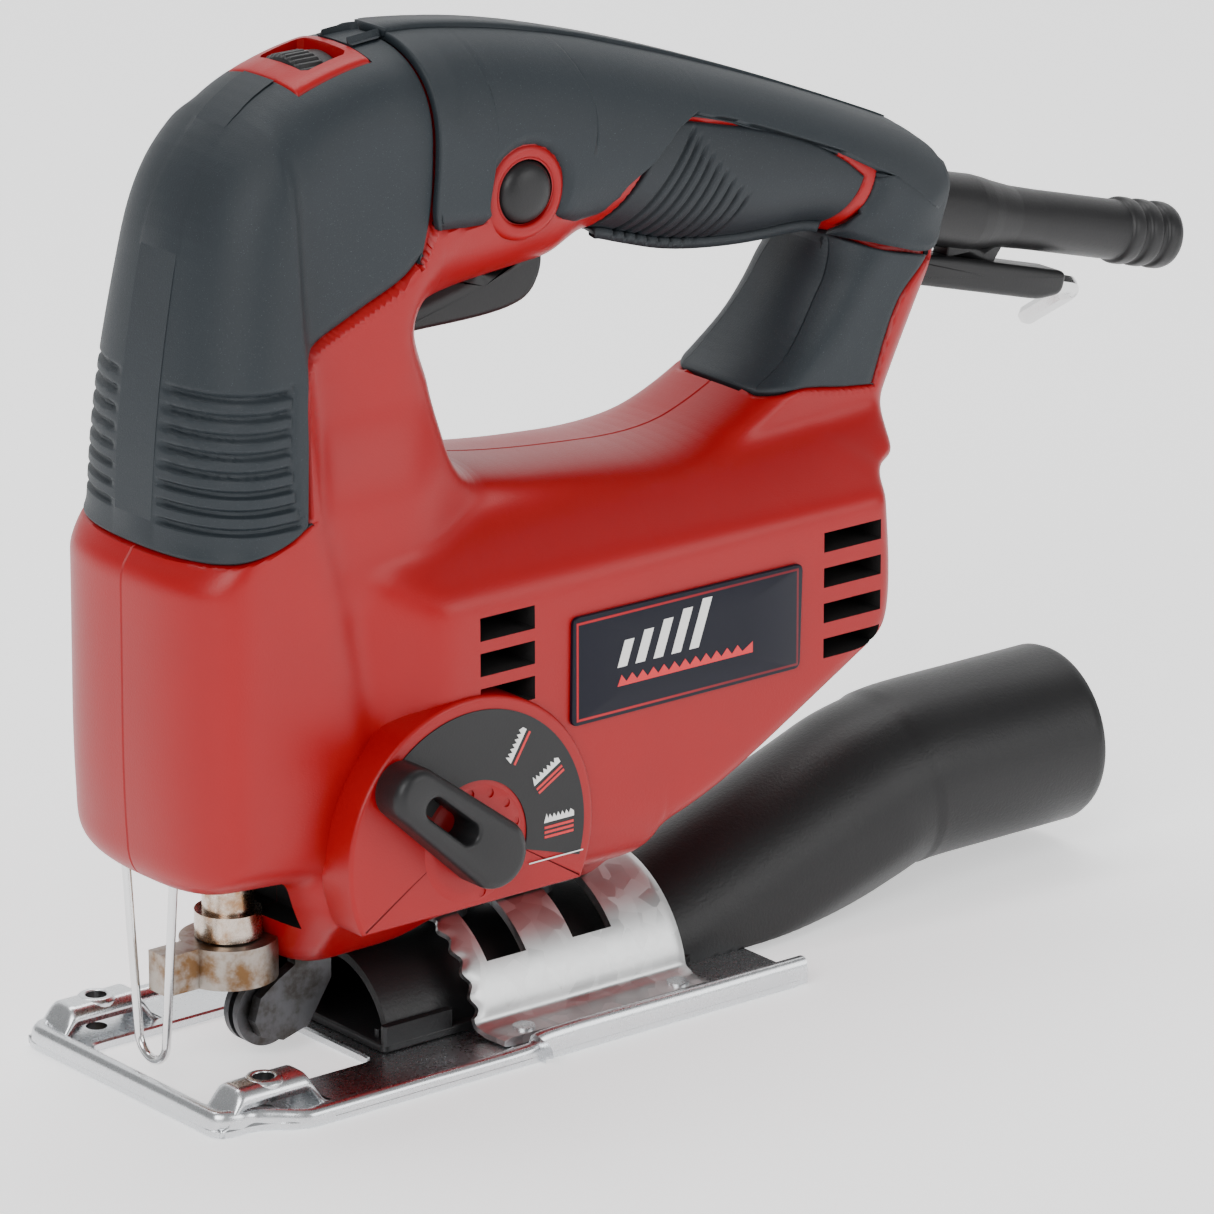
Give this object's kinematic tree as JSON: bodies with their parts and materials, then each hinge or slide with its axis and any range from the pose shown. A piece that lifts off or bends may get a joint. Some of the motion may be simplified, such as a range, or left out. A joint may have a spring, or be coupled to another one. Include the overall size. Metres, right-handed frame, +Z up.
{
  "type": "jigsaw power tool",
  "caption": "Corded D-handle pendulum jigsaw with a tilting base plate, blade clamp, guide roller and rear dust port.",
  "frame": {"origin": "on the underside of the base plate, on the mid-plane, 68 mm behind the plate's front edge", "axes": "+X to the rear along the base plate, +Z up from the sole to the handle; the casing halves part on Y = 0 and the pendulum selector is on the -Y side"},
  "size_m": [0.2646, 0.0799, 0.197],
  "materials": {
    "galvanised_plate": "galvanised, satin",
    "galvanised_bracket": "galvanised, spangled",
    "black_abs": "fine texture",
    "red_abs": "satin, fine spark texture",
    "soft_grip": "fine matte texture",
    "label_film": "printed film",
    "bright_wire": "bright",
    "screw_steel": "blackened",
    "die_cast": "as cast",
    "sinter_bronze": "oiled",
    "bearing_steel": "ground",
    "lamination": "varnished stack",
    "copper": "enamelled copper",
    "carbon": "graphite",
    "spring_steel": "drawn wire",
    "black_nylon": "satin",
    "circuit_board": "solder mask",
    "gear_steel": "hardened",
    "ground_rod": "oiled, ground",
    "clamp_steel": "oiled, brown tint",
    "black_fork": "black oxide"
  },
  "bodies": {
    "shoe": {"base_plate": "galvanised_plate", "bevel_bracket": "galvanised_bracket", "bracket_rivets": "galvanised_bracket", "dust_adapter": "black_abs"},
    "armature": {"armature_shaft": "bearing_steel", "armature_core": "lamination", "commutator": "copper", "cooling_fan": "black_nylon"},
    "gear": {"gear_wheel": "gear_steel", "crank_pin": "bearing_steel"},
    "plunger": {"plunger_rod": "ground_rod", "yoke": "die_cast", "clamp_collar": "clamp_steel", "blade_insert": "clamp_steel"},
    "clamp_lever": {"clamp_ring": "clamp_steel"},
    "pendulum": {"roller_fork": "black_fork", "roller_pin": "bearing_steel"},
    "roller": {"guide_roller": "gear_steel"},
    "trigger_key": {"trigger": "black_nylon"},
    "lock_key": {"lock_button": "black_nylon"},
    "speed_dial": {"speed_wheel": "black_nylon"},
    "selector": {"selector_lever": "black_nylon", "selector_shaft": "bearing_steel"},
    "housing": {"housing_left": "red_abs", "housing_right": "red_abs", "nose_cover": "soft_grip", "handle_grip": "soft_grip", "finger_pads": "soft_grip", "rear_grip": "soft_grip", "housing_screws": "screw_steel", "label_left": "label_film", "label_right": "label_film", "selector_decal": "label_film", "dial_bezel": "red_abs", "lock_ring": "red_abs", "wire_guard": "bright_wire", "gear_case": "die_cast", "bush_upper": "sinter_bronze", "bush_lower": "sinter_bronze", "front_bearing": "bearing_steel", "rear_bearing": "bearing_steel", "stator_stack": "lamination", "stator_windings": "copper", "brush_holders": "sinter_bronze", "carbon_brushes": "carbon", "brush_springs": "spring_steel", "air_baffle": "black_nylon", "switch_module": "black_nylon", "speed_board": "circuit_board", "cord_sleeve": "black_nylon", "cord_clamp": "black_nylon", "key_clip": "black_nylon", "hex_key": "bright_wire", "clamp_saddle": "galvanised_bracket", "bevel_screws": "screw_steel", "gear_axle": "bearing_steel", "fork_pin": "bearing_steel", "trigger_spring": "spring_steel"}
  },
  "joints": [
    {"name": "bevel_tilt", "type": "hinge", "parent": "shoe", "child": "housing", "pos_m": [0, 0, 0], "axis": [1, 0, 0], "range_deg": [-45, 45]},
    {"name": "armature_spin", "type": "hinge", "parent": "housing", "child": "armature", "pos_m": [0, 0, 0.071], "axis": [1, 0, 0], "continuous": true},
    {"name": "gear_spin", "type": "hinge", "parent": "housing", "child": "gear", "pos_m": [0, 0, 0.097], "axis": [1, 0, 0], "continuous": true},
    {"name": "plunger_stroke", "type": "slide", "parent": "housing", "child": "plunger", "axis": [0, 0, 1], "range_m": [0, 0.018]},
    {"name": "clamp_turn", "type": "hinge", "parent": "plunger", "child": "clamp_lever", "pos_m": [-0.042, 0, 0.022], "axis": [0, 0, -1], "range_deg": [0, 20], "stiffness_Nm_per_rad": 0.05, "springref_deg": -17.19},
    {"name": "fork_swing", "type": "hinge", "parent": "housing", "child": "pendulum", "pos_m": [-0.026, 0, 0.038], "axis": [0, 1, 0], "range_deg": [0, 3]},
    {"name": "roller_spin", "type": "hinge", "parent": "pendulum", "child": "roller", "pos_m": [-0.0346, 0, 0.0096], "axis": [0, 1, 0], "continuous": true},
    {"name": "trigger_press", "type": "slide", "parent": "housing", "child": "trigger_key", "axis": [0, 0, 1], "range_m": [0, 0.006], "stiffness_N_per_m": 300, "springref_m": -0.01},
    {"name": "lock_press", "type": "slide", "parent": "housing", "child": "lock_key", "axis": [0, 1, 0], "range_m": [0, 0.0035], "stiffness_N_per_m": 300, "springref_m": -0.006},
    {"name": "speed_turn", "type": "hinge", "parent": "housing", "child": "speed_dial", "pos_m": [-0.022, 0, 0.185], "axis": [1, 0, 0], "range_deg": [-135, 135]},
    {"name": "selector_turn", "type": "hinge", "parent": "housing", "child": "selector", "pos_m": [-0.009, -0.0338, 0.0464], "axis": [0, 1, 0], "range_deg": [0, 120]}
  ],
  "couplings": [
    {"joint": "gear_spin", "follows": "armature_spin", "ratio": -0.18182}
  ]
}
